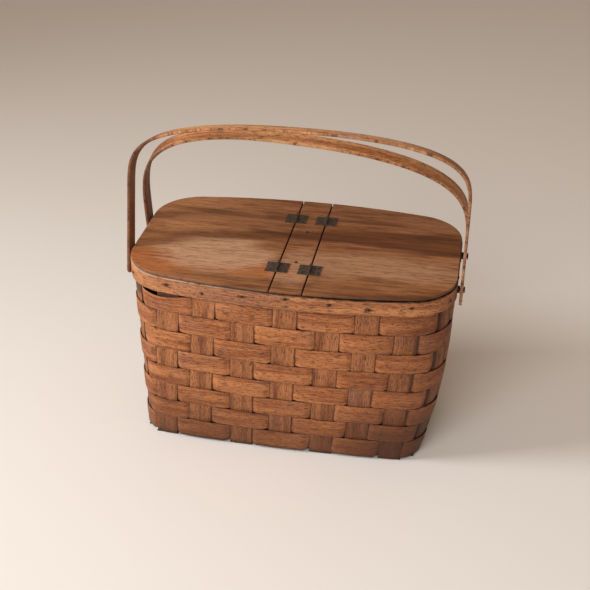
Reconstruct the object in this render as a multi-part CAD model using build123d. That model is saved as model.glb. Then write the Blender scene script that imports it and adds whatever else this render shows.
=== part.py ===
from build123d import *
import os
from math import asin, atan2, cos, degrees, pi, radians, sin, sqrt

# Picnic basket: a splint-woven body, a bentwood rim, a lid in three pieces with two hinged flaps,
# and two bentwood handles that swing on rivets through the rim.
# Frame: millimetres, X along the basket, Y to the rear, Z up.
# The origin is on the floor, under the middle of the lid.

# Whole basket
BASKET_HEIGHT = 292.0        # floor to the top face of the lid
LID_LENGTH = 456.0
LID_DEPTH = 278.0            # over the bowed long sides
LID_CORNER_RADIUS = LID_DEPTH * 70 / 278
LID_SIDE_BOW = LID_DEPTH * 13.5 / 278  # how far a long side swells out beyond its corner arcs
LID_THICKNESS = 5.0

# Foot of the woven wall, measured over the stakes
BASE_LENGTH = 411.0
BASE_DEPTH = 198.0
BASE_CORNER_RADIUS = 42.0
BASE_SIDE_BOW = 5.3
BASE_SHIFT = -12.5           # the weave leans: its foot sits this far along X from the lid's middle

# Belly of the wall at half height, beyond a straight lean from the base to the rim
BELLY_LENGTH = 4.0           # at each end
BELLY_DEPTH = 3.5            # at the front and at the back
BELLY_SHIFT = 5.5            # the whole belly along X, because the right end swells more

# Splints
STAKE_THICKNESS = 2.0
STAKE_WIDTH = 33.0           # front-to-back stakes
END_STAKE_WIDTH = 28.0       # end-to-end stakes
STAKE_PITCH_TOP = LID_LENGTH * 55.6 / 456   # the front stakes spread out with the lid and the base
STAKE_PITCH_BASE = BASE_LENGTH * 56.6 / 411
STAKE_SHIFT_TOP = 4.9        # middle front stake at the rim
STAKE_SHIFT_BASE = -11.4     # middle front stake at the floor
STAKE_STRAY_TOP = (1.8, -1.7, -2.1, 0.1, 3.4, -0.7, -0.6)    # each front stake off its even place
STAKE_STRAY_BASE = (-0.3, -5.3, 1.5, 2.4, 6.6, 0.6, -5.8)
WEAVER_THICKNESS = 1.8
WEAVER_ROWS = 8
ROW_GAP = 0.6
SPLINT_CLEARANCE = 0.4       # between a weaver and a stake, and between crossing stakes
SPLICE_GAP = 1.0
BEND_RADIUS = 2.5            # middle of a stake, where it turns under the basket
FOOT_WEAR = 0.1              # rubbed flat off the lowest places of the stakes, where the basket stands
FRONT_STAKES = 7
END_STAKES = 4

# Rim
RIM_HEIGHT = 23.0
RIM_THICKNESS = 4.5
INNER_RIM_THICKNESS = 4.0
RIM_CLEARANCE = 0.3          # between the hoops and the stakes that they clamp
LID_SEAT_GAP = 0.2           # lid underside above the rim
STAKE_TOP_INSET = 1.0        # stake ends below the top of the rim
SCARF_LENGTH = 45.0          # slanted joint where the two ends of a hoop meet
SCARF_GAP = 0.3
OUTER_SCARF_COLUMN = 15.5    # on the back, between two stakes
INNER_SCARF_COLUMN = 1.5     # on the front, between two stakes

# Lid
STRIP_WIDTH = 43.0
STRIP_SHIFT = 5.5            # middle of the fixed centre strip
SLIT = 1.6                   # gap between the strip and a flap
LID_EDGE_ROUND = 0.8
CROSS_BAR_WIDTH = 30.0
CROSS_BAR_HEIGHT = 12.0
CROSS_BAR_END_GAP = 0.3

# Hinges
HINGE_Y = 75.0
HINGE_LENGTH = 26.0
LEAF_WIDTH = 15.5
LEAF_THICKNESS = 1.0
LEAF_NOTCH_RADIUS = 2.4
KNUCKLE_RADIUS = 2.2
KNUCKLE_LIFT = 0.3           # lowest point of a knuckle above the lid
KNUCKLE_GAP = 0.3
KNUCKLES = 3
HINGE_PIN_RADIUS = 1.2
HINGE_PIN_CLEARANCE = 0.05
LEAF_NAIL_INSET = 5.0        # nail to the notched end of the leaf
LEAF_NAIL_SPREAD = 14.0      # between the two nails of a leaf

# Nails and brads
NAIL_RADIUS = 0.9
NAIL_HEAD_RADIUS = 1.9
NAIL_HEAD_HEIGHT = 0.8
NAIL_POINT_COVER = 1.0       # wood left beyond a nail's point
NAIL_HOLE_CLEARANCE = 0.05
RIM_NAIL_DROP = 9.0          # nail below the top of the rim
RIM_NAIL_STAGGER = 4.0       # every other nail sits this much lower
BRAD_DEPTH = 10.0
BRAD_PLACES = (-55.0, 37.0)  # along the centre strip

# Handles
HANDLE_THICKNESS = 4.2
HANDLE_WIDTH = 25.0
HANDLE_CLEARANCE = 3.4       # leg to lid end
FRONT_CROWN_HEIGHT = 199.3   # middle of the strap above its rivets, along the handle
REAR_CROWN_HEIGHT = 173.9
FRONT_HAUNCH_HEIGHT = 95.0   # where the leg begins to curve in
REAR_HAUNCH_HEIGHT = 10.0
REAR_DROOP = 0.07            # fall of the rear crown, per mm along X
CROWN_ROUNDNESS = 2.36
SHOULDER_TIGHTNESS = 4.27
FRONT_CROWN_Y = -7.5         # where the front crown rests
REAR_CROWN_Y = 18.0
LEG_TAIL = 20.0              # leg below its rivet
TAIL_ROUND = 5.0

# Handle rivets
RIVET_Y = LID_DEPTH * 49 / 278         # between two end stakes, on the straight of the end
RIVET_ABOVE_RIM_EDGE = 7.0
RIVET_RADIUS = 2.2
RIVET_CLEARANCE = 0.05
RIVET_SEAT_CLEARANCE = 0.02  # in the rim, the spacers and the washers, where the rivet is tight
SPACER_RADIUS = 5.0          # washer between the rim and a leg
SPACER_PLAY = 0.3
RIVET_HEAD_RADIUS = 4.6
RIVET_HEAD_HEIGHT = 2.0
RIVET_SIDE_PLAY = 0.3
WASHER_RADIUS = 5.5
WASHER_THICKNESS = 1.0

# How finely the curves are drawn
WEAVER_STEP = 4.5
WALL_STEPS = 10
BEND_STEPS = 5
BASE_STEP = 4.0
HANDLE_STEPS = 40
STAKE_RAILS = 5

# Sizes worked out from those above
LID_UNDERSIDE = BASKET_HEIGHT - LID_THICKNESS
RIM_TOP = LID_UNDERSIDE - LID_SEAT_GAP
RIM_BOTTOM = RIM_TOP - RIM_HEIGHT
WALL_INSET = RIM_THICKNESS + RIM_CLEARANCE + STAKE_THICKNESS / 2
WEAVE_SWING = (STAKE_THICKNESS + WEAVER_THICKNESS) / 2 + SPLINT_CLEARANCE
BASE_SWING = (STAKE_THICKNESS + SPLINT_CLEARANCE) / 2
BASE_MIDDLE = STAKE_THICKNESS / 2 + BASE_SWING - FOOT_WEAR
ROW_FLOOR = BASE_MIDDLE + BASE_SWING + BEND_RADIUS
ROW_PITCH = (RIM_BOTTOM - ROW_FLOOR) / WEAVER_ROWS
STAKE_TOP = RIM_TOP - STAKE_TOP_INSET
HINGE_AXIS_Z = BASKET_HEIGHT + KNUCKLE_LIFT + KNUCKLE_RADIUS
RIVET_Z = RIM_BOTTOM + RIVET_ABOVE_RIM_EDGE
HANDLE_HALF_SPAN = LID_LENGTH / 2 + HANDLE_CLEARANCE + HANDLE_THICKNESS / 2
FRONT_LEAN = degrees(asin((RIVET_Y + FRONT_CROWN_Y) / FRONT_CROWN_HEIGHT))
REAR_LEAN = degrees(asin((RIVET_Y - REAR_CROWN_Y) / REAR_CROWN_HEIGHT))
STRIP_LEFT = STRIP_SHIFT - STRIP_WIDTH / 2
STRIP_RIGHT = STRIP_SHIFT + STRIP_WIDTH / 2
COLUMNS = 2 * (FRONT_STAKES + END_STAKES)


def mix(low, high, share):
    return low + (high - low) * share


def smooth(share):
    share = min(max(share, 0.0), 1.0)
    return share * share * (3 - 2 * share)


class Outline:
    """A rounded rectangle with bowed long sides, followed by arc length from the front middle."""

    def __init__(self, middle, half_length, half_depth, corner, bow):
        run = half_length - corner
        self.middle, self.corner, self.run = middle, corner, run
        self.half_length = half_length
        self.side_radius = (run * run + bow * bow) / (2 * bow) + corner
        self.side_centre = self.side_radius - half_depth
        reach = self.side_radius - corner
        self.turn = asin(run / reach)
        self.corner_y = self.side_centre - reach * cos(self.turn)
        self.side = self.side_radius * self.turn
        self.arc = corner * (pi / 2 - self.turn)
        self.quarter = self.side + self.arc - self.corner_y
        self.length = 4 * self.quarter

    def quarter_place(self, along):
        """Point and outward normal in the front right quarter."""
        if along <= self.side:
            angle = along / self.side_radius
            x = self.side_radius * sin(angle)
            y = self.side_centre - self.side_radius * cos(angle)
            return x, y, sin(angle), -cos(angle)
        if along <= self.side + self.arc:
            angle = self.turn + (along - self.side) / self.corner
            x = self.run + self.corner * sin(angle)
            y = self.corner_y - self.corner * cos(angle)
            return x, y, sin(angle), -cos(angle)
        return self.half_length, along - self.quarter, 1.0, 0.0

    def place(self, along, offset=0.0):
        """Point at an arc length, moved outwards by offset, with its outward normal."""
        along %= self.length
        quadrant, rest = divmod(along, self.quarter)
        quadrant = int(quadrant) % 4
        if quadrant % 2:
            rest = self.quarter - rest
        x, y, normal_x, normal_y = self.quarter_place(rest)
        side_x = 1 if quadrant < 2 else -1
        side_y = 1 if quadrant in (0, 3) else -1
        normal = Vector(side_x * normal_x, side_y * normal_y, 0)
        return Vector(self.middle + side_x * x, side_y * y, 0) + normal * offset, normal


def lid_outline(offset=0.0):
    """Outline of the lid, moved outwards by offset."""
    return Outline(
        0.0,
        LID_LENGTH / 2 + offset,
        LID_DEPTH / 2 + offset,
        LID_CORNER_RADIUS + offset,
        LID_SIDE_BOW,
    )


def wall_outline(z):
    """Middle of the stakes at height z: leaning from the base to the rim, then upright."""
    share = min(max(z / RIM_BOTTOM, 0.0), 1.0)
    belly = 4 * share * (1 - share)
    half_stake = STAKE_THICKNESS / 2
    return Outline(
        mix(BASE_SHIFT, 0.0, share) + BELLY_SHIFT * belly,
        mix(BASE_LENGTH / 2 - half_stake, LID_LENGTH / 2 - WALL_INSET, share) + BELLY_LENGTH * belly,
        mix(BASE_DEPTH / 2 - half_stake, LID_DEPTH / 2 - WALL_INSET, share) + BELLY_DEPTH * belly,
        mix(BASE_CORNER_RADIUS, LID_CORNER_RADIUS - WALL_INSET, share),
        mix(BASE_SIDE_BOW, LID_SIDE_BOW, share),
    )


def columns(z):
    """Arc length of every stake at height z, front left first, then counter-clockwise."""
    share = min(max(z / RIM_BOTTOM, 0.0), 1.0)
    wall = wall_outline(z)
    pitch = mix(STAKE_PITCH_BASE, STAKE_PITCH_TOP, share)
    shift = mix(STAKE_SHIFT_BASE, STAKE_SHIFT_TOP, share) - wall.middle
    strays = [mix(base, top, share) for base, top in zip(STAKE_STRAY_BASE, STAKE_STRAY_TOP)]
    middle = (FRONT_STAKES - 1) / 2
    front = [shift + (i - middle) * pitch + stray for i, stray in enumerate(strays)]
    half = wall.length / 2
    back = [half - place for place in reversed(front)]
    right_step = (back[0] - front[-1]) / (END_STAKES + 1)
    right = [front[-1] + (k + 1) * right_step for k in range(END_STAKES)]
    left_step = (wall.length + front[0] - back[-1]) / (END_STAKES + 1)
    left = [back[-1] + (k + 1) * left_step for k in range(END_STAKES)]
    return front + right + back + left


def column_half_width(column):
    front_or_back = column % (FRONT_STAKES + END_STAKES) < FRONT_STAKES
    return (STAKE_WIDTH if front_or_back else END_STAKE_WIDTH) / 2


def weave(place, stations, holds, signs):
    """Over-and-under value from -1 to 1: held at each station, smooth in between."""
    if place <= stations[0]:
        return signs[0]
    for i in range(len(stations) - 1):
        if place <= stations[i + 1]:
            start = stations[i] + holds[i]
            free = stations[i + 1] - holds[i + 1] - start
            return mix(signs[i], signs[i + 1], smooth((place - start) / free))
    return signs[-1]


def rail_edge(points):
    if len(points) == 2:
        return Edge.make_line(points[0], points[1])
    return Edge.make_spline(points)


def strip_solid(segments):
    """A splint from lists of cross-sections. A cross-section is its outer and its inner points."""
    faces = []
    for sections in segments:
        rings = [outer + inner[::-1] for outer, inner in sections]
        rails = [rail_edge([ring[k] for ring in rings]) for k in range(len(rings[0]))]
        for one, other in zip(rails, rails[1:] + rails[:1]):
            faces.append(Face.make_surface_from_curves(one, other))
    for outer, inner in (segments[0][0], segments[-1][-1]):
        for k in range(len(outer) - 1):
            outer_edge = Edge.make_line(outer[k], outer[k + 1])
            inner_edge = Edge.make_line(inner[k], inner[k + 1])
            faces.append(Face.make_surface_from_curves(outer_edge, inner_edge))
    return Solid(Shell(faces))


def weaver(row):
    """Hoop number row, counted from the rim, passing outside and inside the stakes in turn."""
    high = RIM_BOTTOM - (row - 1) * ROW_PITCH - ROW_GAP / 2
    low = high - ROW_PITCH + ROW_GAP
    middle = (high + low) / 2
    wall = wall_outline(middle)
    edges = [wall_outline(high), wall_outline(low)]
    signs = [1 if (column + row) % 2 else -1 for column in range(COLUMNS)]
    holds = [column_half_width(column) + SPLINT_CLEARANCE for column in range(COLUMNS)]
    stations = columns(middle)
    stations.append(stations[0] + wall.length)
    signs.append(signs[0])
    holds.append(holds[0])
    splice_column = COLUMNS // 2 + FRONT_STAKES // 2 + row % 2
    start = stations[splice_column] + SPLICE_GAP / 2
    run = wall.length - SPLICE_GAP
    steps = round(run / WEAVER_STEP)
    sections = []
    for step in range(steps + 1):
        along = start + run * step / steps
        wrapped = stations[0] + (along - stations[0]) % wall.length
        offset = WEAVE_SWING * weave(wrapped, stations, holds, signs)
        rails = []
        for side in (1, -1):
            rail = []
            for outline, z in zip(edges, (high, low)):
                scaled = along * outline.length / wall.length
                point, _ = outline.place(scaled, offset + side * WEAVER_THICKNESS / 2)
                rail.append(point + Vector(0, 0, z))
            rails.append(rail)
        sections.append(tuple(rails))
    return strip_solid([sections])


def wall_section(column, half_width, z, level=None):
    """Cross-section of a stake on the wall. The stations are those of height level."""
    level = z if level is None else level
    outline = wall_outline(level)
    centre = columns(level)[column]
    outer, inner = [], []
    for k in range(STAKE_RAILS):
        along = centre + half_width * (2 * k / (STAKE_RAILS - 1) - 1)
        outer.append(outline.place(along, STAKE_THICKNESS / 2)[0] + Vector(0, 0, z))
        inner.append(outline.place(along, -STAKE_THICKNESS / 2)[0] + Vector(0, 0, z))
    return outer, inner


def middle_points(section):
    return [(a + b) / 2 for a, b in zip(*section)]


def bend_sections(wall_end, base_points, base_z):
    """Quarter turn from the wall's lowest cross-section to the flat run under the basket."""
    sections = []
    wall_points = middle_points(wall_end)
    drop = wall_points[0].Z - base_z
    for step in range(BEND_STEPS + 1):
        angle = pi / 2 * step / BEND_STEPS
        outer, inner = [], []
        for top, foot in zip(wall_points, base_points):
            level_top = Vector(top.X, top.Y, 0)
            inward = foot - level_top
            point = level_top + inward * (1 - cos(angle)) + Vector(0, 0, top.Z - drop * sin(angle))
            normal = inward.normalized() * -cos(angle) - Vector(0, 0, sin(angle))
            outer.append(point + normal * STAKE_THICKNESS / 2)
            inner.append(point - normal * STAKE_THICKNESS / 2)
        sections.append((outer, inner))
    sections[0] = wall_end
    return sections


def across(start, end, half_width):
    """Points across a stake at the start of its run under the basket, left rail first."""
    direction = (end - start).normalized()
    side = Vector(-direction.Y, direction.X, 0)
    spread = [half_width * (1 - 2 * k / (STAKE_RAILS - 1)) for k in range(STAKE_RAILS)]
    return [start + side * width for width in spread]


def base_ends(column, partner):
    """Where the two bends of a stake reach the flat run, on the centre line."""
    ends = []
    for place in (column, partner):
        level = ROW_FLOOR
        point, normal = wall_outline(level).place(columns(level)[place])
        ends.append(point - normal * BEND_RADIUS)
    return ends


def stake(column, partner, half_width, crossings, cross_half_width, signs):
    """One splint down the wall at column, under the basket and up the wall at partner."""
    start, end = base_ends(column, partner)
    run = (end - start).length
    holds = [cross_half_width + SPLINT_CLEARANCE] * len(crossings)

    def height(along):
        return BASE_MIDDLE + BASE_SWING * weave(along, crossings, holds, signs)

    near = across(start, end, half_width)
    far = across(end, start, half_width)
    wall_near = wall_sections(column, half_width, height(0.0) + BEND_RADIUS)
    wall_far = wall_sections(partner, half_width, height(run) + BEND_RADIUS)
    bend_near = bend_sections(wall_near[-1][-1], near, height(0.0))
    bend_far = bend_sections(wall_far[-1][-1], far, height(run))
    base = [bend_near[-1]]
    steps = round(run / BASE_STEP)
    for step in range(1, steps):
        share = step / steps
        centre = Vector(0, 0, height(run * share))
        points = [mix(a, b, share) + centre for a, b in zip(near, far[::-1])]
        down = Vector(0, 0, -STAKE_THICKNESS / 2)
        base.append(([p + down for p in points], [p - down for p in points]))
    bend_far = [(outer[::-1], inner[::-1]) for outer, inner in bend_far[::-1]]
    wall_far = [
        [(outer[::-1], inner[::-1]) for outer, inner in segment[::-1]] for segment in wall_far[::-1]
    ]
    base.append(bend_far[0])
    splint = strip_solid(wall_near + [bend_near, base, bend_far] + wall_far)
    below = Box(2 * BASE_LENGTH, 2 * BASE_DEPTH, BASKET_HEIGHT, align=(Align.CENTER, Align.CENTER, Align.MAX))
    return splint - below


def wall_sections(column, half_width, foot):
    """The upright stretch inside the rim and the leaning stretch below it."""
    upright = [wall_section(column, half_width, z) for z in (STAKE_TOP, RIM_BOTTOM)]
    leaning = []
    for step in range(WALL_STEPS + 1):
        leaning.append(wall_section(column, half_width, mix(RIM_BOTTOM, foot, step / WALL_STEPS)))
    return [upright, leaning]


def front_partner(i):
    """Column on the back wall that front stake i comes up at."""
    return COLUMNS // 2 + FRONT_STAKES - 1 - i


def end_pair(k):
    """Columns on the right and the left end that end stake k joins."""
    right = FRONT_STAKES + k
    left = COLUMNS - 1 - k
    return right, left


def base_grid():
    """Where the stakes cross under the basket: X of the front stakes, Y of the end stakes."""
    xs = [base_ends(i, front_partner(i))[0].X for i in range(FRONT_STAKES)]
    ys = []
    for k in range(END_STAKES):
        start, end = base_ends(*end_pair(k))
        ys.append((start.Y + end.Y) / 2)
    return xs, ys


def stakes():
    """All stakes by name. Front stakes and end stakes pass over each other in turn."""
    xs, ys = base_grid()
    holes = rim_nailing(nail_hole)
    made = {}
    for i in range(FRONT_STAKES):
        start, _ = base_ends(i, front_partner(i))
        crossings = [y - start.Y for y in ys]
        signs = [1 if (i + k) % 2 else -1 for k in range(END_STAKES)]
        splint = stake(
            i, front_partner(i), STAKE_WIDTH / 2, crossings, END_STAKE_WIDTH / 2, signs
        )
        own_holes = [holes[i], holes[front_partner(i)]]
        made[f"stake_front_to_back_{i + 1}"] = drilled(splint, own_holes)
    for k in range(END_STAKES):
        right, left = end_pair(k)
        start, _ = base_ends(right, left)
        crossings = [start.X - x for x in reversed(xs)]
        signs = [-1 if (FRONT_STAKES - 1 - i + k) % 2 else 1 for i in range(FRONT_STAKES)]
        splint = stake(
            right, left, END_STAKE_WIDTH / 2, crossings, STAKE_WIDTH / 2, signs
        )
        made[f"stake_end_to_end_{k + 1}"] = drilled(splint, [holes[right], holes[left]])
    return made


def outline_face(outline):
    """Face inside an outline, from its eight arcs and two straight ends."""
    quarter = outline.quarter
    side = outline.side
    corner = outline.side + outline.arc
    marks = []
    for quadrant in range(4):
        ahead = [0.0, side, corner]
        if quadrant % 2:
            ahead = [0.0, quarter - corner, quarter - side]
        marks += [quadrant * quarter + mark for mark in ahead]
    marks.append(4 * quarter)
    edges = []
    for start, end in zip(marks, marks[1:]):
        points = [outline.place(place)[0] for place in (start, (start + end) / 2, end)]
        bulge = (points[1] - (points[0] + points[2]) / 2).length
        if bulge < 1e-6:
            edges.append(Edge.make_line(points[0], points[2]))
        else:
            edges.append(Edge.make_three_point_arc(*points))
    return Face(Wire(edges))


def prism(outline, bottom, top):
    return extrude(Pos(0, 0, bottom) * outline_face(outline), top - bottom, dir=(0, 0, 1))


def hoop(outer_offset, inner_offset, scarf_column):
    """A band between two offsets of the lid's outline, with a slanted joint where its ends meet."""
    outer = prism(lid_outline(outer_offset), RIM_BOTTOM, RIM_TOP)
    inner = prism(lid_outline(inner_offset), RIM_BOTTOM, RIM_TOP)
    places = columns(RIM_BOTTOM)
    before = places[int(scarf_column)]
    after = places[int(scarf_column) + 1]
    along = mix(before, after, scarf_column % 1)
    middle = (outer_offset + inner_offset) / 2 + WALL_INSET
    point, normal = wall_outline(RIM_BOTTOM).place(along, middle)
    slant = degrees(atan2(outer_offset - inner_offset, SCARF_LENGTH))
    heading = degrees(atan2(normal.Y, normal.X)) + 90 + slant
    cut = Box(2 * SCARF_LENGTH, SCARF_GAP, 3 * RIM_HEIGHT)
    return (outer - inner) - Pos(point.X, point.Y, RIM_TOP) * Rot(0, 0, heading) * cut


def box_between(low, high):
    size = [b - a for a, b in zip(low, high)]
    centre = [(a + b) / 2 for a, b in zip(low, high)]
    return Pos(*centre) * Box(*size)


def lid_piece(left, right):
    """The part of the lid between two places along X, with its top edge eased."""
    whole = prism(lid_outline(), LID_UNDERSIDE, BASKET_HEIGHT)
    reach = LID_DEPTH
    cut = box_between((left, -reach, LID_UNDERSIDE), (right, reach, BASKET_HEIGHT))
    piece = whole & cut
    top = piece.faces().sort_by(Axis.Z)[-1]
    return chamfer(top.outer_wire().edges(), LID_EDGE_ROUND / 2)


def cross_bar():
    """Bar under the centre strip, from the front of the inner hoop to its back."""
    reach = LID_DEPTH / 2 - WALL_INSET - STAKE_THICKNESS / 2 - RIM_CLEARANCE
    reach -= INNER_RIM_THICKNESS + CROSS_BAR_END_GAP
    half = CROSS_BAR_WIDTH / 2
    low = (STRIP_SHIFT - half, -reach, LID_UNDERSIDE - CROSS_BAR_HEIGHT)
    high = (STRIP_SHIFT + half, reach, LID_UNDERSIDE)
    return box_between(low, high)


def nail(length):
    """Nail along Z: its head stands on the plane Z = 0 and its shank goes down."""
    head = Cylinder(NAIL_HEAD_RADIUS, NAIL_HEAD_HEIGHT, align=(Align.CENTER, Align.CENTER, Align.MIN))
    head = chamfer(head.edges().sort_by(Axis.Z)[-1], NAIL_HEAD_HEIGHT / 2)
    shank = Cylinder(NAIL_RADIUS, length, align=(Align.CENTER, Align.CENTER, Align.MAX))
    return head + shank


def nail_hole(length):
    """Hole along Z for a nail of this length. The tool also reaches up through the nail's head."""
    radius = NAIL_RADIUS + NAIL_HOLE_CLEARANCE
    depth = NAIL_HEAD_HEIGHT + length + NAIL_HOLE_CLEARANCE
    hole = Cylinder(radius, depth, align=(Align.CENTER, Align.CENTER, Align.MAX))
    return Pos(0, 0, NAIL_HEAD_HEIGHT) * hole


def aimed(solid, point, outward):
    """Solid with its Z axis turned to outward and its origin moved to point."""
    return Plane(origin=point, z_dir=outward) * solid


def drilled(solid, holes):
    for hole in holes:
        solid = solid - hole
    return solid


def rim_nailing(tool):
    """The tool, a nail or a nail hole, at each stake. Those in line with the cross bar reach it."""
    stack = RIM_THICKNESS + STAKE_THICKNESS + 2 * RIM_CLEARANCE + INNER_RIM_THICKNESS
    wall = wall_outline(RIM_BOTTOM)
    placed = []
    for column, place in enumerate(columns(RIM_BOTTOM)):
        point, normal = wall.place(place, WALL_INSET)
        drop = RIM_NAIL_DROP + (RIM_NAIL_STAGGER if column % 2 else 0.0)
        into_bar = abs(point.X - STRIP_SHIFT) < CROSS_BAR_WIDTH / 4
        length = stack + CROSS_BAR_HEIGHT if into_bar else stack - NAIL_POINT_COVER
        height = LID_UNDERSIDE - CROSS_BAR_HEIGHT / 2 if into_bar else RIM_TOP - drop
        placed.append(aimed(tool(length), point + Vector(0, 0, height), normal))
    return placed


def brad_nailing(tool):
    """The tool, a brad or its hole, at both places along the centre strip."""
    places = [(STRIP_SHIFT, y, BASKET_HEIGHT) for y in BRAD_PLACES]
    return [Pos(*place) * tool(BRAD_DEPTH) for place in places]


def knuckle_spans(moving):
    """Y spans of the knuckles on one leaf, about the hinge's middle."""
    length = HINGE_LENGTH / KNUCKLES
    spans = []
    for k in range(KNUCKLES):
        if (k % 2 == 1) == moving:
            low = -HINGE_LENGTH / 2 + k * length
            high = low + length
            low += KNUCKLE_GAP / 2 if k > 0 else 0.0
            high -= KNUCKLE_GAP / 2 if k < KNUCKLES - 1 else 0.0
            spans.append((low, high))
    return spans


def y_rod(radius, low, high):
    rod = Cylinder(radius, high - low, rotation=(90, 0, 0))
    return Pos(0, (low + high) / 2, 0) * rod


def hinge_leaf(moving):
    """Leaf that reaches along +X from a hinge axis at the origin, with its knuckles."""
    seat = -KNUCKLE_RADIUS - KNUCKLE_LIFT
    half = HINGE_LENGTH / 2
    plate = box_between((0, -half, seat), (LEAF_WIDTH, half, seat + LEAF_THICKNESS))
    for y in (-half / 3, half / 3):
        notch = Cylinder(LEAF_NOTCH_RADIUS, 2 * LEAF_THICKNESS)
        plate -= Pos(LEAF_WIDTH + LEAF_NOTCH_RADIUS / 3, y, seat + LEAF_THICKNESS / 2) * notch
    for low, high in knuckle_spans(not moving):
        reach = KNUCKLE_RADIUS + KNUCKLE_GAP
        low -= KNUCKLE_GAP if low > -half else 0.0
        high += KNUCKLE_GAP if high < half else 0.0
        plate -= box_between((-reach, low, seat - 1), (reach, high, -seat))
    for low, high in knuckle_spans(moving):
        plate += y_rod(KNUCKLE_RADIUS, low, high)
    plate -= y_rod(HINGE_PIN_RADIUS + HINGE_PIN_CLEARANCE, -half, half)
    return drilled(plate, leaf_nailing(nail_hole))


def leaf_nailing(tool):
    """The tool, a nail or a nail hole, at both places on a leaf that reaches along +X."""
    length = LEAF_THICKNESS + LID_THICKNESS - NAIL_POINT_COVER
    x = LEAF_WIDTH - LEAF_NAIL_INSET
    z = -KNUCKLE_RADIUS - KNUCKLE_LIFT + LEAF_THICKNESS
    return [Pos(x, side * LEAF_NAIL_SPREAD / 2, z) * tool(length) for side in (-1, 1)]


def hinge_nailing(tool):
    """The leaf nails, or their holes, in the strip and in the two flaps."""
    placed = {"centre_strip": [], "left_lid_flap": [], "right_lid_flap": []}
    for side, _, place, turn in hinge_sites():
        back = turn * Rot(0, 0, 180)
        placed["centre_strip"] += [place * back * one for one in leaf_nailing(tool)]
        placed[f"{side}_lid_flap"] += [place * turn * one for one in leaf_nailing(tool)]
    return placed


def hinge_sites():
    """Name, X of the axis, Y and the turn that points +X at the flap."""
    sites = []
    for side, x, turn in (("left", STRIP_LEFT - SLIT / 2, 180), ("right", STRIP_RIGHT + SLIT / 2, 0)):
        for end, y in (("front", -HINGE_Y), ("rear", HINGE_Y)):
            sites.append((side, end, Pos(x, y, HINGE_AXIS_Z), Rot(0, 0, turn)))
    return sites


def hinges():
    """All hinge pieces by name, and the nails of the leaves."""
    made = {f"{name}_leaf_nails": nails for name, nails in hinge_nailing(nail).items()}
    for side, end, place, turn in hinge_sites():
        back = turn * Rot(0, 0, 180)
        half = HINGE_LENGTH / 2
        made[f"hinge_{side}_{end}_fixed_leaf"] = place * back * hinge_leaf(False)
        made[f"hinge_{side}_{end}_flap_leaf"] = place * turn * hinge_leaf(True)
        made[f"hinge_{side}_{end}_pin"] = place * y_rod(HINGE_PIN_RADIUS, -half, half)
    return made


def crown_curve(haunch, crown, droop):
    """Middle line of a handle above its haunches: X and height above the rivets."""
    points = []
    for step in range(HANDLE_STEPS + 1):
        angle = pi * (1 - step / HANDLE_STEPS)
        side = 1 if cos(angle) >= 0 else -1
        x = HANDLE_HALF_SPAN * side * abs(cos(angle)) ** (2 / CROWN_ROUNDNESS)
        rise = crown - haunch - droop * x
        points.append((x, haunch + rise * abs(sin(angle)) ** (2 / SHOULDER_TIGHTNESS)))
    return points


def strap_face(haunch, crown, droop):
    """Side view of a handle, in the XY plane, with the rivets on the line Y = 0."""
    middle = crown_curve(haunch, crown, droop)
    sides = []
    for side in (1, -1):
        rail = []
        for i in range(1, len(middle) - 1):
            along_x = middle[i + 1][0] - middle[i - 1][0]
            along_y = middle[i + 1][1] - middle[i - 1][1]
            reach = side * HANDLE_THICKNESS / 2 / sqrt(along_x ** 2 + along_y ** 2)
            rail.append((middle[i][0] - along_y * reach, middle[i][1] + along_x * reach))
        edge_x = HANDLE_HALF_SPAN + side * HANDLE_THICKNESS / 2
        rail = [(-edge_x, haunch)] + rail + [(edge_x, haunch)]
        sides.append(rail)
    outer, inner = sides
    crown_edges = [Edge.make_spline(rail, tangents=[(0, 1), (0, -1)]) for rail in (outer, inner)]
    legs = []
    for end in (0, -1):
        feet = [(rail[end][0], -LEG_TAIL) for rail in (outer, inner)]
        legs.append(Edge.make_line(outer[end], feet[0]))
        legs.append(Edge.make_line(feet[0], feet[1]))
        legs.append(Edge.make_line(feet[1], inner[end]))
    return Face(Wire(crown_edges + legs))


def handle(pivot_y, lean, haunch, crown, droop):
    """A bentwood strap with a rivet hole in each leg, leaning by lean towards the rear."""
    strap = extrude(strap_face(haunch, crown, droop), HANDLE_WIDTH / 2, both=True)
    tails = strap.edges().filter_by(Axis.X).filter_by(lambda edge: edge.center().Y < 0)
    strap = fillet(tails, TAIL_ROUND)
    hole = Cylinder(RIVET_RADIUS + RIVET_CLEARANCE, 3 * HANDLE_HALF_SPAN, rotation=(0, 90, 0))
    strap = Rot(90, 0, 0) * (strap - hole)
    return Pos(0, pivot_y, RIVET_Z) * Rot(-lean, 0, 0) * strap


def rivet(side, y):
    """Rivet through one end of the rim: domed head outside the leg, clinched over a washer."""
    leg_face = HANDLE_HALF_SPAN + HANDLE_THICKNESS / 2 + RIVET_SIDE_PLAY
    inner_face = washer_face() - WASHER_THICKNESS
    head = Cylinder(RIVET_HEAD_RADIUS, RIVET_HEAD_HEIGHT, align=(Align.CENTER, Align.CENTER, Align.MIN))
    head = chamfer(head.edges().sort_by(Axis.Z)[-1], RIVET_HEAD_HEIGHT / 2)
    shank = Cylinder(RIVET_RADIUS, leg_face - inner_face, align=(Align.CENTER, Align.CENTER, Align.MAX))
    clinch_radius = (RIVET_RADIUS + WASHER_RADIUS) / 2
    clinch = Cylinder(clinch_radius, WASHER_THICKNESS, align=(Align.CENTER, Align.CENTER, Align.MAX))
    body = head + shank + Pos(0, 0, inner_face - leg_face) * clinch
    return aimed(body, Vector(side * leg_face, y, RIVET_Z), Vector(side, 0, 0))


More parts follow.
